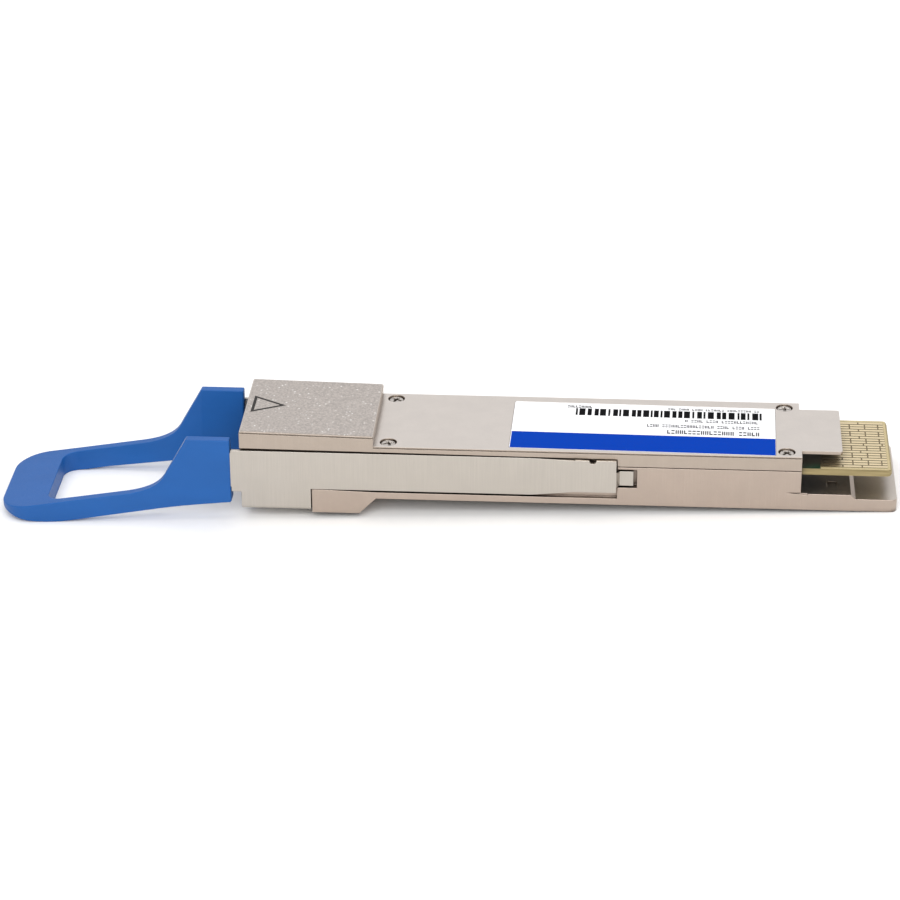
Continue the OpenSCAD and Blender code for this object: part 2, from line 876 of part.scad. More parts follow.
module pull_tab() {
  color([0.19, 0.42, 0.72]) in_frame() difference() {
    intersection() {
      across(tab_w + 2) tab_profile();
      translate([0, 0, -15]) linear_extrude(30) tab_plan();
    }
    both_sides() box([-6.4, half_w - sheet_t, 1.4], [0, half_w, 6.9]);
  }
}

// ---------------------------------------------------------------- nodes

base_shell();
top_cover();
cover_screws();
label_sheet();
nose_plate();
circuit_card();
contacts_top_inner();
contacts_top_outer();
contacts_bottom_inner();
contacts_bottom_outer();
processor_substrate();
processor_lid();
processor_thermal_pad();
engine_carrier();
photonic_chip();
fibre_coupler();
laser_diodes();
driver_chips();
engine_lid();
engine_thermal_pad();
microcontroller();
memory_chip();
power_regulators();
inductors();
capacitors_lower();
capacitors_upper();
clock_oscillator();
card_screws();
fibre_ribbon();
mt_ferrule();
guide_pins();
ferrule_clip();
port_receptacle();
card_gasket_upper();
card_gasket_lower();
seam_gaskets();
return_spring_left();
return_spring_right();
latch_slider();
pull_tab();
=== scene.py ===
"""Looks of the pluggable optical transceiver: finishes, fine detail, stage, light and camera.

Places are given in body millimetres, as the part is drawn: X = 0 at the nose face, Y across the body and
Z = 0 at the flat underside. at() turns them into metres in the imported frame.
"""
import json
import math

import bmesh
import bpy
from mathutils import Matrix, Vector

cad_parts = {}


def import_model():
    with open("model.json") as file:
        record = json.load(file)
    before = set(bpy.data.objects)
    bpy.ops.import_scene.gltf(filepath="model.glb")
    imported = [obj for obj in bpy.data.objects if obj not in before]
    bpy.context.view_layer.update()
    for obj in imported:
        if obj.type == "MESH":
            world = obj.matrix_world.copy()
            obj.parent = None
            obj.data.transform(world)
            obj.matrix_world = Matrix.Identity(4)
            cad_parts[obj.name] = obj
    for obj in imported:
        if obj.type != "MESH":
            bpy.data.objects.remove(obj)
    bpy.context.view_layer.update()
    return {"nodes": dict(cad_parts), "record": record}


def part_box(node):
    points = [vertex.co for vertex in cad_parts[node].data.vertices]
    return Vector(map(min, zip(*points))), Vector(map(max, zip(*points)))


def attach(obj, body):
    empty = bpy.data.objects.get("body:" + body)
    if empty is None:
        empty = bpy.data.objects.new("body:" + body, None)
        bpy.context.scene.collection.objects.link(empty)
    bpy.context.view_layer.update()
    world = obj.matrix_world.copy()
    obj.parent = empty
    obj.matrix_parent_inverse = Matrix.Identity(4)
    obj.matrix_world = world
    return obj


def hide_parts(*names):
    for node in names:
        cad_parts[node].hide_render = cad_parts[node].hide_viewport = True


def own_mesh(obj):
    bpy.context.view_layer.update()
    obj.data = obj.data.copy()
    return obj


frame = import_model()
nodes = frame["nodes"]
MM = 0.001

# ---------------------------------------------------------------- places taken from the frame

LID_Z = 8.5
NOSE_L = 19.4
NOSE_FRONT_Z = 10.4
NOSE_REAR_Z = 10.05
FOIL_T = 0.06
SCREW_X = (21.5, 79.6)
SCREW_Y = (-7.45, 7.45)
SPRING_Y = 7.85
SPRING_R = 0.65
SPRING_WIRE = 0.1
ORIGIN = Vector((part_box("base_shell")[0].x, 0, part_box("label_sheet")[1].z - LID_Z * MM))


def at(x, y, z):
    """Body millimetres to metres in the frame."""
    return ORIGIN + Vector((x, y, z)) * MM


def body_box(node):
    """Lowest and highest corner of a CAD node, in body millimetres."""
    return [(corner - ORIGIN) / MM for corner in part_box(node)]


# ---------------------------------------------------------------- node trees


def new_tree(name):
    """A fresh material with only its Principled shader and output."""
    material = bpy.data.materials.new(name)
    material.use_nodes = True
    tree = material.node_tree
    return material, tree, tree.nodes["Principled BSDF"]


def add(tree, kind, inputs=None, **settings):
    """One node; inputs holds either plain values or sockets to link from."""
    node = tree.nodes.new("ShaderNode" + kind)
    for key, value in settings.items():
        setattr(node, key, value)
    for key, value in (inputs or {}).items():
        if isinstance(value, bpy.types.NodeSocket):
            tree.links.new(value, node.inputs[key])
        else:
            node.inputs[key].default_value = value
    return node


def place(tree, stretch=(1, 1, 1)):
    """Object coordinates, in millimetres, squeezed or stretched."""
    source = add(tree, "TexCoord").outputs["Object"]
    scale = [1000 / s for s in stretch]
    return add(tree, "Mapping", {"Vector": source, "Scale": scale}).outputs["Vector"]


def noise(tree, vector, size, detail=2.0, rough=0.5):
    """Cloudy noise with features of about size millimetres, from 0 to 1."""
    inputs = {"Vector": vector, "Scale": 1 / size, "Detail": detail, "Roughness": rough}
    return add(tree, "TexNoise", inputs).outputs["Fac"]


def remap(tree, value, low, high, to_low, to_high):
    """Clamped change of range."""
    inputs = {"Value": value, "From Min": low, "From Max": high, "To Min": to_low, "To Max": to_high}
    return add(tree, "MapRange", inputs).outputs["Result"]


def math_node(tree, operation, a, b):
    """One arithmetic step on two values."""
    return add(tree, "Math", {0: a, 1: b}, operation=operation).outputs[0]


def mix(tree, factor, a, b, blend="MIX"):
    """Mixes two colours."""
    inputs = {0: factor, 6: a, 7: b}
    node = add(tree, "Mix", inputs, data_type="RGBA", blend_type=blend)
    return node.outputs[2]


def bump(tree, height, depth, strength=1.0, under=None):
    """Bump of the given depth in millimetres, on top of another bump."""
    inputs = {"Height": height, "Distance": depth * MM, "Strength": strength}
    if under is not None:
        inputs["Normal"] = under
    return add(tree, "Bump", inputs).outputs["Normal"]


def rgb(r, g, b):
    """Linear colour from an 8-bit screen colour."""
    return [((c / 255 + 0.055) / 1.055) ** 2.4 if c > 10 else c / 255 / 12.92 for c in (r, g, b)] + [1]


def shade(color, factor):
    return [c * factor for c in color[:3]] + [1]


def paint_crevice_shade(tree, color, reach, depth, shut=0.15, clear=0.8):
    """Painted shade: darkens a colour towards a dark brown where surfaces close in on each other."""
    ao = add(tree, "AmbientOcclusion", {"Distance": reach * MM}, samples=6).outputs["AO"]
    amount = remap(tree, ao, shut, clear, depth, 0)
    return mix(tree, amount, color, (0.026, 0.017, 0.011, 1))


def level_share(tree):
    """1 on faces that lie level, 0 on walls and chamfers."""
    normal = add(tree, "NewGeometry").outputs["Normal"]
    height = add(tree, "SeparateXYZ", {"Vector": normal}).outputs["Z"]
    return remap(tree, math_node(tree, "ABSOLUTE", height, 0), 0.85, 0.97, 0, 1)


# ---------------------------------------------------------------- finishes


def nickel(name, color, wall_shade_color, rough, reach=0.9, overhang_shade=0.0):
    """Satin nickel over a die casting: blasted grain, drawn streaks, walls painted darker and warmer as shade,
    and painted shade in the seams.

    reach is how far the painted seam shade spreads; the last argument sets how dark level faces are painted as
    shade under an overhang.
    """
    # The third number is how dark the painted seam shade gets.
    grain, streak, crevice_shade = 0.1, 0.05, 0.85
    material, tree, principled = new_tree(name)
    fine = noise(tree, place(tree), 0.09, 3)
    cloud = noise(tree, place(tree), 2.6, 4, 0.6)
    drawn = noise(tree, place(tree, (0.12, 0.12, 9)), 1.0, 3, 0.6)
    # Painted shade: walls get a darker, warmer colour than level faces, for the light that falls on them.
    walls_shaded = mix(tree, level_share(tree), wall_shade_color, color)
    wear = remap(tree, drawn, 0.35, 0.65, 0, streak * 4)
    worn = mix(tree, wear, (1, 1, 1, 1), (0.8, 0.78, 0.76, 1))
    patchy = mix(tree, remap(tree, cloud, 0.3, 0.7, 0, 1), (0.93, 0.93, 0.93, 1), worn)
    tone = mix(tree, 1.0, walls_shaded, patchy, "MULTIPLY")
    # Painted shade in the seams and gaps, where surfaces close in.
    tone = paint_crevice_shade(tree, tone, reach, crevice_shade)
    # Painted shade on level faces under an overhang, such as the base floor under the card.
    if overhang_shade:
        tone = mix(tree, level_share(tree), tone, paint_crevice_shade(tree, tone, 5.0, overhang_shade, 0.25, 0.85))
    tree.links.new(tone, principled.inputs["Base Color"])
    by_grain = remap(tree, fine, 0.3, 0.7, -0.05, 0.05)
    by_lines = remap(tree, drawn, 0.3, 0.7, 0, 0.06)
    varied = math_node(tree, "ADD", by_grain, by_lines)
    tree.links.new(math_node(tree, "ADD", varied, rough), principled.inputs["Roughness"])
    principled.inputs["Metallic"].default_value = 1
    under = bump(tree, noise(tree, place(tree), 0.6, 3), 0.02, 0.25)
    tree.links.new(bump(tree, fine, 0.012, grain * 5, under), principled.inputs["Normal"])
    return material


def sparkle_foil(name, color):
    """Coarse cast foil: pebbled, with scattered flat grains whose glints are painted near-white into the
    colour.
    """
    material, tree, principled = new_tree(name)
    cells = add(tree, "TexVoronoi", {"Vector": place(tree), "Scale": 1 / 0.42})
    picked = add(tree, "SeparateColor", {"Color": cells.outputs["Color"]}).outputs["Red"]
    near = remap(tree, cells.outputs["Distance"], 0.1, 0.5, 1, 0)
    # Painted highlight: a mask for the grains that get painted glints.
    glint = math_node(tree, "MULTIPLY", remap(tree, picked, 0.84, 1.0, 0, 0.95), near)
    mottle = noise(tree, place(tree), 0.34, 6, 0.75)
    tone = mix(tree, remap(tree, mottle, 0.38, 0.62, 0, 1), shade(color, 0.76), shade(color, 1.2))
    # The painted glints are mixed into the colour.
    tone = mix(tree, glint, tone, (1.0, 0.99, 0.96, 1))
    # Painted shade where surfaces close in.
    tree.links.new(paint_crevice_shade(tree, tone, 0.5, 0.5), principled.inputs["Base Color"])
    tree.links.new(remap(tree, mottle, 0.3, 0.7, 0.4, 0.6), principled.inputs["Roughness"])
    principled.inputs["Metallic"].default_value = 0.9
    under = bump(tree, mottle, 0.03, 0.35)
    pebble = noise(tree, place(tree), 0.12, 2)
    tree.links.new(bump(tree, pebble, 0.015, 0.5, under), principled.inputs["Normal"])
    return material


def steel(name, color, rough, stretch=(0.1, 0.1, 8), crevice_shade=0.5, clear=0.8):
    """Drawn or turned steel with fine lines along one direction."""
    material, tree, principled = new_tree(name)
    lines = noise(tree, place(tree, stretch), 0.9, 4, 0.6)
    cloud = noise(tree, place(tree), 3.5, 3)
    tone = mix(tree, remap(tree, lines, 0.35, 0.65, 0, 1), shade(color, 0.94), shade(color, 1.04))
    tone = mix(tree, remap(tree, cloud, 0.4, 0.7, 0, 0.3), tone, shade(color, 0.9))
    # Painted shade in gaps and recesses, where surfaces close in.
    tree.links.new(paint_crevice_shade(tree, tone, 0.7, crevice_shade, 0.3, clear), principled.inputs["Base Color"])
    tree.links.new(remap(tree, lines, 0.3, 0.7, rough - 0.05, rough + 0.07), principled.inputs["Roughness"])
    principled.inputs["Metallic"].default_value = 1
    tree.links.new(bump(tree, lines, 0.008, 0.25), principled.inputs["Normal"])
    return material


def plastic(name, color, rough, texture=0.16, depth=0.012, variation=0.06, gloss=0.5):
    """Moulded plastic with a fine spark-eroded texture."""
    material, tree, principled = new_tree(name)
    principled.inputs["Specular IOR Level"].default_value = gloss
    fine = noise(tree, place(tree), texture, 3)
    flow = noise(tree, place(tree, (3, 1, 1)), 4.0, 3)
    share = remap(tree, flow, 0.3, 0.7, 0, 1)
    tone = mix(tree, share, shade(color, 1 - variation), shade(color, 1 + variation))
    tree.links.new(tone, principled.inputs["Base Color"])
    tree.links.new(remap(tree, fine, 0.3, 0.7, rough - 0.06, rough + 0.06), principled.inputs["Roughness"])
    tree.links.new(bump(tree, fine, depth, 0.4), principled.inputs["Normal"])
    return material


def paper(name, color):
    """Coated label film with a faint orange-peel."""
    material, tree, principled = new_tree(name)
    principled.inputs["Specular IOR Level"].default_value = 0.2
    peel = noise(tree, place(tree), 0.5, 3)
    tone = mix(tree, peel, shade(color, 0.97), color)
    tree.links.new(tone, principled.inputs["Base Color"])
    tree.links.new(remap(tree, peel, 0.3, 0.7, 0.34, 0.44), principled.inputs["Roughness"])
    tree.links.new(bump(tree, peel, 0.004, 0.3), principled.inputs["Normal"])
    return material


def ink(name, color):
    """Matt printed ink: slightly uneven cover."""
    material, tree, principled = new_tree(name)
    principled.inputs["Specular IOR Level"].default_value = 0.03
    cover = noise(tree, place(tree), 0.18, 4)
    tone = mix(tree, remap(tree, cover, 0.3, 0.7, 0, 1), shade(color, 0.92), shade(color, 1.06))
    tree.links.new(tone, principled.inputs["Base Color"])
    tree.links.new(remap(tree, cover, 0.3, 0.7, 0.6, 0.75), principled.inputs["Roughness"])
    return material


def gold(name):
    """Plated contact gold with a satin grain and light rub marks along the card."""
    material, tree, principled = new_tree(name)
    rub = noise(tree, place(tree, (8, 0.08, 0.08)), 0.8, 3)
    grain = noise(tree, place(tree), 0.06, 2)
    color = (0.80, 0.67, 0.43, 1)
    tone = mix(tree, remap(tree, rub, 0.35, 0.65, 0, 1), shade(color, 0.93), shade(color, 1.08))
    # Painted shade: the pads darken where the lid's tongue and the base close over them.
    tree.links.new(paint_crevice_shade(tree, tone, 4.0, 0.93, 0.3, 0.75), principled.inputs["Base Color"])
    tree.links.new(remap(tree, rub, 0.3, 0.7, 0.26, 0.4), principled.inputs["Roughness"])
    principled.inputs["Metallic"].default_value = 1
    tree.links.new(bump(tree, grain, 0.004, 0.4), principled.inputs["Normal"])
    return material


def laminate(name, mask_end, pads_end, pads_half):
    """Glass laminate: green mask up to mask_end, dark cloth between the pads, bare past them (metres)."""
    material, tree, principled = new_tree(name)
    position = add(tree, "SeparateXYZ", {"Vector": add(tree, "TexCoord").outputs["Object"]})
    flat = level_share(tree)

    def before(value, limit):
        return remap(tree, value, limit - 1e-5, limit + 1e-5, 1, 0)

    masked = math_node(tree, "MULTIPLY", flat, before(position.outputs["X"], mask_end))
    between = math_node(tree, "MULTIPLY", flat, before(position.outputs["X"], pads_end))
    sideways = math_node(tree, "ABSOLUTE", position.outputs["Y"], 0)
    between = math_node(tree, "MULTIPLY", between, before(sideways, pads_half))
    layers = noise(tree, place(tree, (6, 6, 0.12)), 0.9, 3)
    weave = noise(tree, place(tree), 0.25, 2)
    edge = mix(tree, remap(tree, layers, 0.35, 0.65, 0, 1), rgb(120, 106, 66), rgb(154, 138, 96))
    face = mix(tree, remap(tree, weave, 0.4, 0.7, 0, 1), rgb(176, 160, 118), rgb(190, 175, 134))
    bare = mix(tree, flat, edge, face)
    bare = mix(tree, between, bare, rgb(104, 90, 60))
    mask = mix(tree, noise(tree, place(tree), 0.8, 3), rgb(6, 44, 30), rgb(12, 66, 42))
    tone = mix(tree, masked, bare, mask)
    # Painted shade: the card darkens where the lid's tongue and the base floor close over it.
    tree.links.new(paint_crevice_shade(tree, tone, 4.0, 0.93, 0.3, 0.75), principled.inputs["Base Color"])
    tree.links.new(remap(tree, masked, 0, 1, 0.55, 0.28), principled.inputs["Roughness"])
    tree.links.new(bump(tree, layers, 0.012, 0.3), principled.inputs["Normal"])
    return material


def glass(name):
    """Clear optical glass block with fine polishing haze."""
    material, tree, principled = new_tree(name)
    haze = noise(tree, place(tree), 0.4, 3)
    tree.links.new(remap(tree, haze, 0.3, 0.7, 0.04, 0.12), principled.inputs["Roughness"])
    principled.inputs["Base Color"].default_value = (0.86, 0.93, 0.95, 1)
    principled.inputs["Transmission Weight"].default_value = 0.85
    principled.inputs["IOR"].default_value = 1.5
    return material


BLUE = (0.008, 0.090, 0.322, 1)
FINISH = {
    "nickel_casting_base": nickel(
        "nickel_base", (0.640, 0.580, 0.520, 1), (0.472, 0.390, 0.332, 1), 0.29, reach=1.1, overhang_shade=0.85
    ),
    "nickel_casting_cover": nickel(
        "nickel_cover", (0.700, 0.645, 0.592, 1), (0.460, 0.390, 0.330, 1), 0.3
    ),
    "foil_plate": sparkle_foil("nose_foil", (0.50, 0.455, 0.42, 1)),
    # The slider and screw steels get deep painted shade in their gaps and cross recesses.
    "stamped_steel": steel("slider_steel", (0.508, 0.470, 0.422, 1), 0.33, crevice_shade=0.9),
    "screw_steel": steel("screw_steel", (0.60, 0.56, 0.52, 1), 0.36, (1, 1, 1), 0.97, 0.95),
    "spring_steel": steel("spring_steel", (0.6, 0.58, 0.55, 1), 0.25, (1, 1, 1)),
    "chip_lid_metal": steel("chip_lid_metal", (0.68, 0.68, 0.68, 1), 0.35, (6, 0.2, 0.2)),
    "label_film": paper("label_film", (0.90, 0.90, 0.91, 1)),
    "card_laminate": laminate("card_laminate", at(84.55, 0, 0).x, at(94.3, 0, 0).x, 7.6 * MM),
    "contact_gold": gold("contact_gold"),
    "thermal_silicone": plastic("thermal_silicone", rgb(120, 140, 150), 0.7, 0.3, 0.03),
    "ceramic_carrier": plastic("ceramic_carrier", rgb(225, 222, 208), 0.5, 0.1, 0.006, 0.03),
    "chip_black": plastic("chip_black", rgb(30, 30, 33), 0.45, 0.08, 0.006),
    "optical_glass": glass("optical_glass"),
    "ferrite_grey": plastic("ferrite_grey", rgb(74, 72, 70), 0.6, 0.12, 0.015),
    "ceramic_capacitor": plastic("ceramic_capacitor", rgb(150, 122, 88), 0.4, 0.08, 0.006),
    "fibre_jacket": plastic("fibre_jacket", rgb(96, 178, 190), 0.35, 0.2, 0.006),
    "ferrule_polymer": plastic("ferrule_polymer", rgb(44, 50, 48), 0.4, 0.07, 0.006),
    "receptacle_black": plastic("receptacle_black", rgb(24, 24, 26), 0.42, 0.14, 0.012),
    "conductive_elastomer": plastic("conductive_elastomer", rgb(58, 58, 60), 0.75, 0.1, 0.02),
    "blue_plastic": plastic("blue_plastic", BLUE, 0.45, 0.2, 0.01, 0.05, gloss=0.3),
}


SLOT_OF = {part["node"]: part["material_slot"] for part in frame["record"]["subparts"]}
for node, slot in SLOT_OF.items():
    nodes[node].data.materials.clear()
    nodes[node].data.materials.append(FINISH[slot])


# ---------------------------------------------------------------- mesh helpers


def piece(name, vertices, faces, material, body="housing", smooth=True):
    """A mesh piece from body millimetres, riding on a body."""
    mesh = bpy.data.meshes.new(name)
    mesh.from_pydata([at(*v) for v in vertices], [], faces)
    mesh.validate()
    mesh.update()
    if smooth:
        mesh.shade_smooth()
    mesh.materials.append(material)
    obj = bpy.data.objects.new(name, mesh)
    bpy.context.scene.collection.objects.link(obj)
    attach(obj, body)
    return obj


def bridge(count, rings, closed=True):
    """Quads between rings of count points each."""
    faces = []
    for i in range(rings - 1):
        for k in range(count if closed else count - 1):
            a, b = i * count + k, i * count + (k + 1) % count
            faces.append((a, b, b + count, a + count))
    return faces


def loft(name, rings, material, body="housing", caps=True):
    """A closed skin over rings that have the same number of points."""
    count = len(rings[0])
    faces = bridge(count, len(rings))
    if caps:
        faces.append(tuple(reversed(range(count))))
        faces.append(tuple(range((len(rings) - 1) * count, len(rings) * count)))
    obj = piece(name, [p for ring in rings for p in ring], faces, material, body)
    face_outwards(obj)
    return obj


def face_outwards(obj):
    """Makes every face look outwards."""
    mesh = bmesh.new()
    mesh.from_mesh(obj.data)
    bmesh.ops.recalc_face_normals(mesh, faces=mesh.faces)
    mesh.to_mesh(obj.data)
    mesh.free()


def soften(obj, width, segments=2, angle=35, weld=True):
    """Rounds the sharp edges of a piece by width millimetres and keeps its flat faces flat."""
    if weld:
        obj.modifiers.new("weld", "WELD").merge_threshold = 1e-6
        flat = obj.modifiers.new("flat", "DECIMATE")
        flat.decimate_type = "DISSOLVE"
        flat.angle_limit = math.radians(0.5)
    bevel = obj.modifiers.new("edges", "BEVEL")
    bevel.width = width * MM
    bevel.segments = segments
    bevel.limit_method = "ANGLE"
    bevel.angle_limit = math.radians(angle)
    bevel.use_clamp_overlap = False
    bevel.miter_outer = "MITER_ARC"
    bevel.harden_normals = True
    obj.data.shade_smooth()
    obj.modifiers.new("normals", "WEIGHTED_NORMAL").keep_sharp = True


def circle_points(x, y, z, r, steps, start=0.0):
    """Points of a level circle."""
    turn = 2 * math.pi / steps
    return [(x + r * math.cos(start + i * turn), y + r * math.sin(start + i * turn), z) for i in range(steps)]


# ---------------------------------------------------------------- pull tab

REACH = -body_box("pull_tab")[0].x
TAB_HALF = body_box("pull_tab")[1].y
TAB_REAR = body_box("pull_tab")[1].x
TAB_TOP = body_box("pull_tab")[1].z
ARM_T = 1.4
LOOP_END = 7.1
OUTER_R = 4.6
INNER_R = 2.2
STRAP_X, STRAP_Z, STRAP_FALL = -17, -0.2, 0.165
KNEE = (-11.5, 3.0)
SHOULDER_X = -8.15
UNDER_R = 22
UNDER_X = 10.7 - REACH


def quadratic(p0, p1, p2, x):
    """Height of a quadratic curve at x; the curve must not turn back."""
    low, high = 0.0, 1.0
    for _ in range(40):
        t = (low + high) / 2
        if (1 - t) ** 2 * p0[0] + 2 * t * (1 - t) * p1[0] + t * t * p2[0] < x:
            low = t
        else:
            high = t
    return (1 - t) ** 2 * p0[1] + 2 * t * (1 - t) * p1[1] + t * t * p2[1]


def strap_z(x):
    return STRAP_Z + STRAP_FALL * (x - STRAP_X)


def under_line(x):
    return STRAP_Z - 3.12 + (STRAP_FALL + 0.013) * (x - STRAP_X)


def tab_top(x):
    """Top outline: strap, blend, steep rise and level shoulder."""
    if x >= SHOULDER_X:
        return TAB_TOP
    if x >= KNEE[0]:
        share = (x - KNEE[0]) / (SHOULDER_X - KNEE[0])
        return KNEE[1] + share * (TAB_TOP - KNEE[1])
    if x >= -17.5:
        return quadratic((-17.5, strap_z(-17.5)), (-12.6, strap_z(-12.6)), KNEE, x)
    return strap_z(x)


def tab_under(x):
    """Lower outline: heel, straight strap and the curve up under the closed end."""
    heel = -9.6
    if x >= -5.5:
        return under_line(heel) + 0.107 * (x - heel)
    if x >= -13:
        end = under_line(heel) + 0.107 * (-5.5 - heel)
        return quadratic((-13, under_line(-13)), (heel, under_line(heel)), (-5.5, end), x)
    if x >= UNDER_X:
        return under_line(x)
    slope = math.atan(STRAP_FALL + 0.013)
    centre_x = UNDER_X - UNDER_R * math.sin(slope)
    centre_z = under_line(UNDER_X) + UNDER_R * math.cos(slope)
    return centre_z - math.sqrt(UNDER_R ** 2 - (x - centre_x) ** 2)


def draft(x):
    """How much thicker the arm is at its lower inner edge."""
    return min(1.15, max(0.05, 0.2 + 0.105 * (x + 22)))


def tab_ring(outer, inner, shrink=0.0):
    """Rounded cross-section between an outer and an inner point of the plan."""
    fillet = 0.13
    wide = math.dist(outer, inner)
    to_inner = [(inner[i] - outer[i]) / wide for i in (0, 1)]
    lean = draft((outer[0] + inner[0]) / 2)
    ring = []

    def add_point(inset, height, from_top):
        x, y = (outer[i] + to_inner[i] * inset for i in (0, 1))
        z = tab_top(x) - height if from_top else tab_under(x) + height
        ring.append((x, y, z))

    quarter = [math.radians(a) for a in (0, 22.5, 45, 67.5, 90)]
    across = [i / 8 for i in range(1, 8)]
    edge = shrink + fillet
    for a in quarter:
        add_point(edge - fillet * math.sin(a), shrink + fillet - fillet * math.cos(a), True)
    for a in reversed(quarter):
        add_point(edge - fillet * math.sin(a), shrink + fillet - fillet * math.cos(a), False)
    low_wide = wide + lean
    for share in across:
        add_point(edge + share * (low_wide - 2 * edge), shrink, False)
    for a in quarter:
        add_point(low_wide - edge + fillet * math.sin(a), shrink + fillet - fillet * math.cos(a), False)
    for a in reversed(quarter):
        add_point(wide - edge + fillet * math.sin(a), shrink + fillet - fillet * math.cos(a), True)
    for share in reversed(across):
        add_point(edge + share * (wide - 2 * edge), shrink, True)
    return ring


def walk(points, count):
    """Points spaced evenly along a polyline."""
    lengths = [0.0]
    for a, b in zip(points, points[1:]):
        lengths.append(lengths[-1] + math.dist(a, b))
    result = []
    for i in range(count):
        goal = lengths[-1] * i / (count - 1)
        k = min(j for j in range(1, len(points)) if lengths[j] >= goal - 1e-9)
        share = (goal - lengths[k - 1]) / (lengths[k] - lengths[k - 1])
        result.append(tuple(points[k - 1][n] + share * (points[k][n] - points[k - 1][n]) for n in (0, 1)))
    return result


def pull_tab():
    """The blue pull tab: two arms, a falling strap and a closed end, swept as one skin."""
    inner_half = TAB_HALF - ARM_T
    inner_x = LOOP_END - REACH
    arm_x = [TAB_REAR - 0.15 * i for i in range(1, 4)] + [-3, -4.5, -6, -7, -7.8]
    arm_x += [SHOULDER_X + 0.05, SHOULDER_X - 0.05] + [-8.6 - 0.45 * i for i in range(7)]
    arm_x += [KNEE[0] - 0.2 - 0.5 * i for i in range(13)]
    arm_x += [-18.3 - 0.9 * i for i in range(10)]
    turn = [math.radians(90 * i / 30) for i in range(31)]
    outer_turn = [(inner_x + INNER_R, -TAB_HALF)] + [
        (OUTER_R - REACH - OUTER_R * math.sin(a), OUTER_R - TAB_HALF - OUTER_R * math.cos(a)) for a in turn
    ]
    inner_turn = [
        (inner_x + INNER_R - INNER_R * math.sin(a), INNER_R - inner_half - INNER_R * math.cos(a)) for a in turn
    ]
    corner = list(zip(walk(outer_turn, 30), walk(inner_turn, 30)))
    middle = [
        ((-REACH, -y * (TAB_HALF - OUTER_R)), (inner_x, -y * (inner_half - INNER_R))) for y in (0.7, 0.35)
    ]
    near = [((x, -TAB_HALF), (x, -inner_half)) for x in arm_x if x > inner_x + INNER_R] + corner + middle
    far = [((a[0], -a[1]), (b[0], -b[1])) for a, b in reversed(near)]
    stations = near + [((-REACH, 0), (inner_x, 0))] + far
    end = [((TAB_REAR, s * TAB_HALF), (TAB_REAR, s * inner_half)) for s in (-1, 1)]
    first, last = (tab_ring(*e, shrink=0.15) for e in end)
    rings = [first] + [tab_ring(*s) for s in stations] + [last]
    tab = loft("pull_tab_skin", rings, FINISH["blue_plastic"], "latch")
    tab.modifiers.new("normals", "WEIGHTED_NORMAL").keep_sharp = False
    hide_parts("pull_tab")


# ---------------------------------------------------------------- label and markings


LABEL_MIDDLE = (58.7, -0.625)
LABEL_HALF = (19.4, 7.875)
LABEL_TURN = math.radians(-0.8)


def printed(x, y, z):
    """A place on the label, which was applied a little askew."""
    dx, dy = x - LABEL_MIDDLE[0], y - LABEL_MIDDLE[1]
    c, s = math.cos(LABEL_TURN), math.sin(LABEL_TURN)
    return (LABEL_MIDDLE[0] + c * dx - s * dy, LABEL_MIDDLE[1] + s * dx + c * dy, z)


def blocks(name, rectangles, thickness, material):
    """Many printed rectangles on the lid as one piece."""
    vertices, faces = [], []
    for x0, y0, x1, y1 in rectangles:
        base = len(vertices)
        for height in (LID_Z, LID_Z + thickness):
            vertices += [printed(x, y, height) for x, y in rectangle(x0, y0, x1, y1)]
        faces += [(base + 3, base + 2, base + 1, base), (base + 4, base + 5, base + 6, base + 7)]
        for k in range(4):
            a, b = base + k, base + (k + 1) % 4
            faces.append((a, b, b + 4, a + 4))
    return piece(name, vertices, faces, material, smooth=False)


def rectangle(x0, y0, x1, y1):
    return [(x0, y0), (x1, y0), (x1, y1), (x0, y1)]


def bar_row(x0, x1, y0, y1):
    """A row of plain bars whose widths follow a fixed rule and mean nothing."""
    bars = []
    x, i = x0, 0
    while x < x1 - 0.2:
        wide = (0.3, 0.62, 0.28, 0.9, 0.4, 0.2, 0.72)[(i * i + 2 * i) % 7]
        gap = (0.22, 0.42, 0.26, 0.34, 0.18)[(i * 3 + i // 4) % 5]
        bars.append((x, y0, min(x + wide, x1), y1))
        x += wide + gap
        i += 1
    return bars


def stroke_row(x0, x1, y0, y1, step, seed):
    """Posts and bars standing in for a line of small print; they spell nothing."""
    strokes = []
    wide, thin, tall = 0.78 * step, 0.3 * step, 0.3 * (y1 - y0)
    for i in range(int((x1 - x0) / step)):
        kind = (5 * (i % 7) + i // 3 + seed) % 9
        x = x0 + i * step
        if kind in (0, 3, 6):
            strokes += [(x, y0, x + thin, y1), (x + wide - thin, y0, x + wide, y1)]
        elif kind in (1, 4, 7):
            strokes += [(x, y0, x + wide, y0 + tall), (x, y1 - tall, x + wide, y1)]
        elif kind in (2, 5):
            strokes += [(x, y0, x + thin, y1), (x + thin, y0, x + wide, y0 + tall)]
    return strokes


def label_print():
    left, low = (LABEL_MIDDLE[i] - LABEL_HALF[i] for i in (0, 1))
    band = (left + 0.1, low + 0.05, LABEL_MIDDLE[0] + LABEL_HALF[0] - 0.03, -3.0)
    blocks("label_band", [band], 0.012, ink("band_ink", (0.0, 0.042, 0.375, 1)))
    black = ink("bar_ink", (0.004, 0.004, 0.005, 1))
    blocks("label_bars", bar_row(48.5, 76.1, 3.13, 5.45), 0.01, black)
    lines = stroke_row(62.2, 76.0, 5.75, 6.4, 0.4, 1) + stroke_row(47.2, 51.3, 5.65, 6.4, 0.42, 4)
    blocks("label_lines_dark", lines, 0.01, black)
    grey = ink("line_ink", (0.06, 0.06, 0.07, 1))
    lines = stroke_row(64.8, 76.0, 1.75, 2.6, 0.45, 3) + stroke_row(59.2, 76.0, -0.15, 0.75, 0.45, 5)
    lines += stroke_row(62.2, 76.0, -2.3, -1.05, 0.62, 2)
    blocks("label_lines_grey", lines, 0.01, grey)


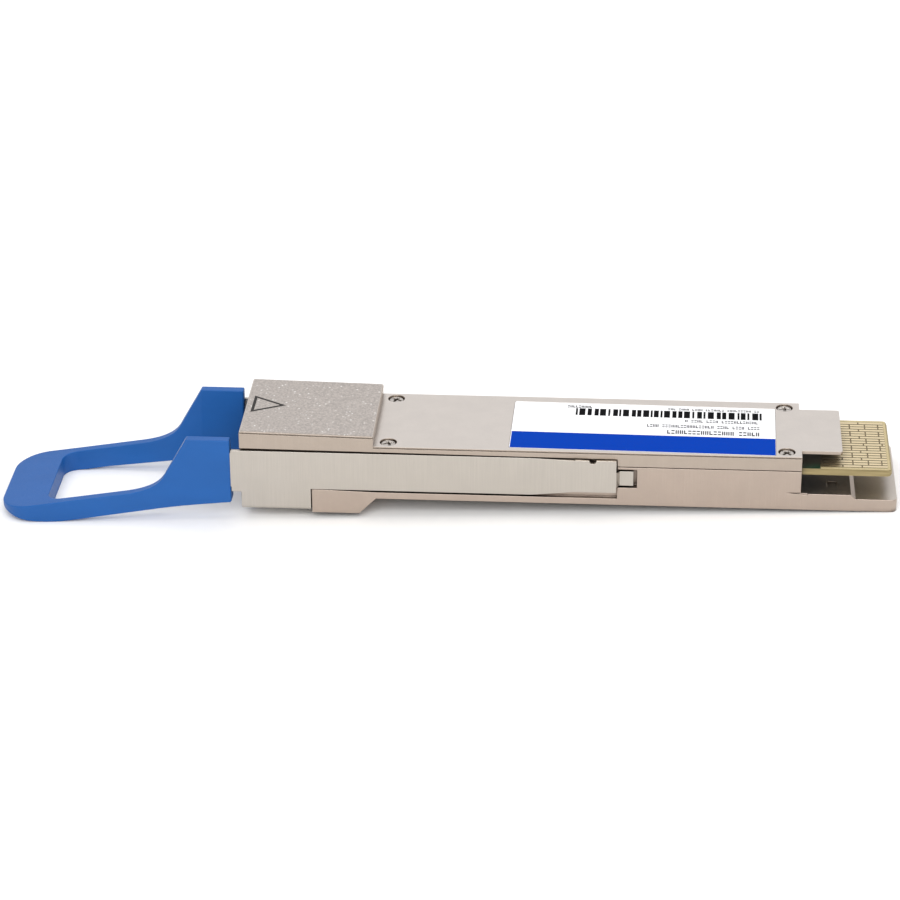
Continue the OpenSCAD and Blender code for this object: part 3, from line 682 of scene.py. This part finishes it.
def nose_mark():
    """An empty arrow-like triangle on the nose foil."""
    slope = (NOSE_REAR_Z - NOSE_FRONT_Z) / NOSE_L
    middle = [(0.81, 2.94), (0.76, -2.25), (5.39, 0.25)]
    centre = [sum(c[i] for c in middle) / 3 for i in (0, 1)]

    def grown(share):
        return [tuple(centre[i] + share * (c[i] - centre[i]) for i in (0, 1)) for c in middle]

    corners, inner = grown(1.08), grown(0.8)
    vertices, faces = [], []
    for height in (0.0, 0.012):
        for x, y in corners + inner:
            vertices.append((x, y, NOSE_FRONT_Z + FOIL_T + slope * x + height))
    for k in range(3):
        n = (k + 1) % 3
        faces.append((6 + k, 6 + n, 9 + n, 9 + k))
        faces.append((n, k, 3 + k, 3 + n))
        faces.append((k, n, 6 + n, 6 + k))
        faces.append((3 + n, 3 + k, 9 + k, 9 + n))
    piece("nose_triangle", vertices, faces, ink("mark_ink", (0.05, 0.047, 0.045, 1)), smooth=False)


# ---------------------------------------------------------------- screws


def screw_head(x, y, turn, number):
    """A pan head with a rolled rim and a cross recess with sloping walls."""
    top, seat, rim, roll, shank = 8.36, 7.8, 1.12, 0.2, 0.7
    steps = 96
    wing, half, deep = 0.84, 0.2, 0.5
    crown = 0.06

    def depth(px, py):
        """How far the recess cuts below the head at a point."""
        cut = 0.0
        for a, b in ((px, py), (py, px)):
            side = (half * (1.25 - 0.3 * abs(a) / wing) - abs(b)) / 0.07
            tip = (wing - abs(a)) / 0.16
            cut = max(cut, min(1.0, side, tip))
        return deep * cut * (1 - 0.35 * math.hypot(px, py) / wing)

    rings = []
    flat = rim - roll
    for r in [i * 0.025 for i in range(1, 36)] + [0.9, flat]:
        ring = []
        for px, py, _ in circle_points(0, 0, 0, r, steps):
            z = top - crown * (r / rim) ** 2 - depth(px, py)
            turned = (px * math.cos(turn) - py * math.sin(turn), px * math.sin(turn) + py * math.cos(turn))
            ring.append((x + turned[0], y + turned[1], z))
        rings.append(ring)
    for a in (math.radians(18 * k) for k in range(1, 6)):
        z = top - crown * (flat / rim) ** 2 - roll * (1 - math.cos(a))
        rings.append(circle_points(x, y, z, flat + roll * math.sin(a), steps, turn))
    for r, z in ((rim, seat), (shank, seat), (shank, 2.6)):
        rings.append(circle_points(x, y, z, r, steps, turn))
    return loft(f"cover_screw_{number}", rings, FINISH["screw_steel"], "housing")


def cover_screws():
    turns = [0.35, 1.1, 0.8, 0.12]
    places = [(x, y) for x in SCREW_X for y in SCREW_Y]
    for number, ((x, y), turn) in enumerate(zip(places, turns)):
        screw = screw_head(x, y, turn, number)
        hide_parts("cover_screws")


# ---------------------------------------------------------------- return springs


def return_spring(side, node):
    """A compression spring with closed ends."""
    low, high = body_box(node)
    wire = SPRING_WIRE
    radius = SPRING_R - wire
    turns, per_turn, sides = 10, 24, 8
    x0, x1 = low.x + wire, high.x - wire
    y, z = side * SPRING_Y, (low.z + high.z) / 2
    rings = []
    for i in range(turns * per_turn + 1):
        t = i / (turns * per_turn)
        closed = 2 * wire * turns * min(t, 0.1)
        closed += 2 * wire * turns * max(0.0, t - 0.9)
        open_share = min(1.0, max(0.0, (t - 0.1) / 0.8))
        x = x0 + closed + open_share * (x1 - x0 - 4 * wire * turns * 0.1)
        a = 2 * math.pi * i / per_turn
        ring = []
        for k in range(sides):
            b = 2 * math.pi * k / sides
            r = radius + wire * math.cos(b)
            ring.append((x + wire * math.sin(b), y + r * math.cos(a), z + r * math.sin(a)))
        rings.append(ring)
    spring = loft(f"{node}_coil", rings, FINISH["spring_steel"], "housing")
    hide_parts(node)
    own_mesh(spring)


# ---------------------------------------------------------------- stage, light and camera


def stage_floor():
    """A plain pale floor under the tab's closed end and the rear of the base."""
    slope = math.atan(STRAP_FALL + 0.013)
    centre_x = UNDER_X - UNDER_R * math.sin(slope)
    centre = Vector((centre_x, under_line(UNDER_X) + UNDER_R * math.cos(slope)))
    heel = Vector((body_box("base_shell")[1].x, 0.0))
    away = heel - centre
    angle = math.atan2(away.y, away.x) - math.acos(UNDER_R / away.length)
    touch = centre + UNDER_R * Vector((math.cos(angle), math.sin(angle)))
    rise = (heel.y - touch.y) / (heel.x - touch.x)
    size = 4000
    corners = [(x, y, touch.y + rise * (x - touch.x)) for x, y in rectangle(-size, -size, size, size)]
    mesh = bpy.data.meshes.new("floor")
    mesh.from_pydata([at(*c) for c in corners], [], [(0, 1, 2, 3)])
    floor = bpy.data.objects.new("floor", mesh)
    bpy.context.scene.collection.objects.link(floor)
    material, tree, principled = new_tree("floor_paper")
    principled.inputs["Roughness"].default_value = 0.9
    principled.inputs["Specular IOR Level"].default_value = 0.2
    grain = noise(tree, place(tree), 1.5, 3)
    tone = mix(tree, grain, (0.90, 0.895, 0.885, 1), (0.93, 0.925, 0.915, 1))
    tree.links.new(tone, principled.inputs["Base Color"])
    mesh.materials.append(material)


def area_light(name, location, target, size, power, color=(1, 1, 1)):
    light = bpy.data.lights.new(name, "AREA")
    light.shape = "RECTANGLE"
    light.size, light.size_y = size
    light.energy = power
    light.color = color
    obj = bpy.data.objects.new(name, light)
    obj.location = location
    obj.rotation_euler = (Vector(target) - Vector(location)).to_track_quat("-Z", "Y").to_euler()
    bpy.context.scene.collection.objects.link(obj)


def surroundings():
    """A bright studio: white behind the part, dimmer above and in front, and one large soft key in front."""
    world = bpy.data.worlds.new("studio")
    bpy.context.scene.world = world
    world.use_nodes = True
    tree = world.node_tree
    background = tree.nodes["Background"]
    ray = add(tree, "TexCoord").outputs["Generated"]
    parts = add(tree, "SeparateXYZ", {"Vector": ray})
    towards_back = remap(tree, parts.outputs["Y"], -0.45, 0.3, 0, 1)
    upwards = remap(tree, parts.outputs["Z"], 0.6, 0.95, 0, 1)
    level = mix(tree, towards_back, (0.42, 0.38, 0.35, 1), (0.98, 0.98, 1.0, 1))
    tree.links.new(mix(tree, upwards, level, (0.8, 0.8, 0.8, 1)), background.inputs["Color"])
    background.inputs["Strength"].default_value = 1.0
    area_light("overhead", (0.0, 0.05, 0.8), (0.0, 0.0, 0.0), (0.9, 0.6), 1.5)
    area_light("key", (0.05, -0.85, 0.72), (0.0, 0.0, 0.0), (1.3, 0.7), 11.0, (0.97, 0.985, 1.0))


def camera():
    """The photograph's view: a long lens, 26 degrees down and 4 degrees round."""
    data = bpy.data.cameras.new("camera")
    data.lens = 129.9
    data.sensor_width = 36
    data.clip_start = 0.01
    data.clip_end = 50
    obj = bpy.data.objects.new("camera", data)
    yaw, pitch, roll = (math.radians(a) for a in (3.95, 26.26, -0.31))
    right = Vector((math.cos(yaw), math.sin(yaw), 0))
    level = Vector((-math.sin(yaw), math.cos(yaw), 0))
    forward = level * math.cos(pitch) - Vector((0, 0, math.sin(pitch)))
    up = Vector((0, 0, math.cos(pitch))) + level * math.sin(pitch)
    tilted_right = right * math.cos(roll) + up * math.sin(roll)
    tilted_up = up * math.cos(roll) - right * math.sin(roll)
    matrix = Matrix((tilted_right, tilted_up, -forward)).transposed().to_4x4()
    matrix.translation = at(59.9, -432.6, 217.7)
    obj.matrix_world = matrix
    bpy.context.scene.collection.objects.link(obj)
    bpy.context.scene.camera = obj
    bpy.context.scene.view_settings.view_transform = "Standard"


# ---------------------------------------------------------------- put together

soften(nodes["base_shell"], 0.07)
soften(nodes["top_cover"], 0.045, angle=50)
soften(nodes["latch_slider"], 0.07)
pull_tab()
label_print()
nose_mark()
cover_screws()
return_spring(1, "return_spring_left")
return_spring(-1, "return_spring_right")
stage_floor()
surroundings()
camera()
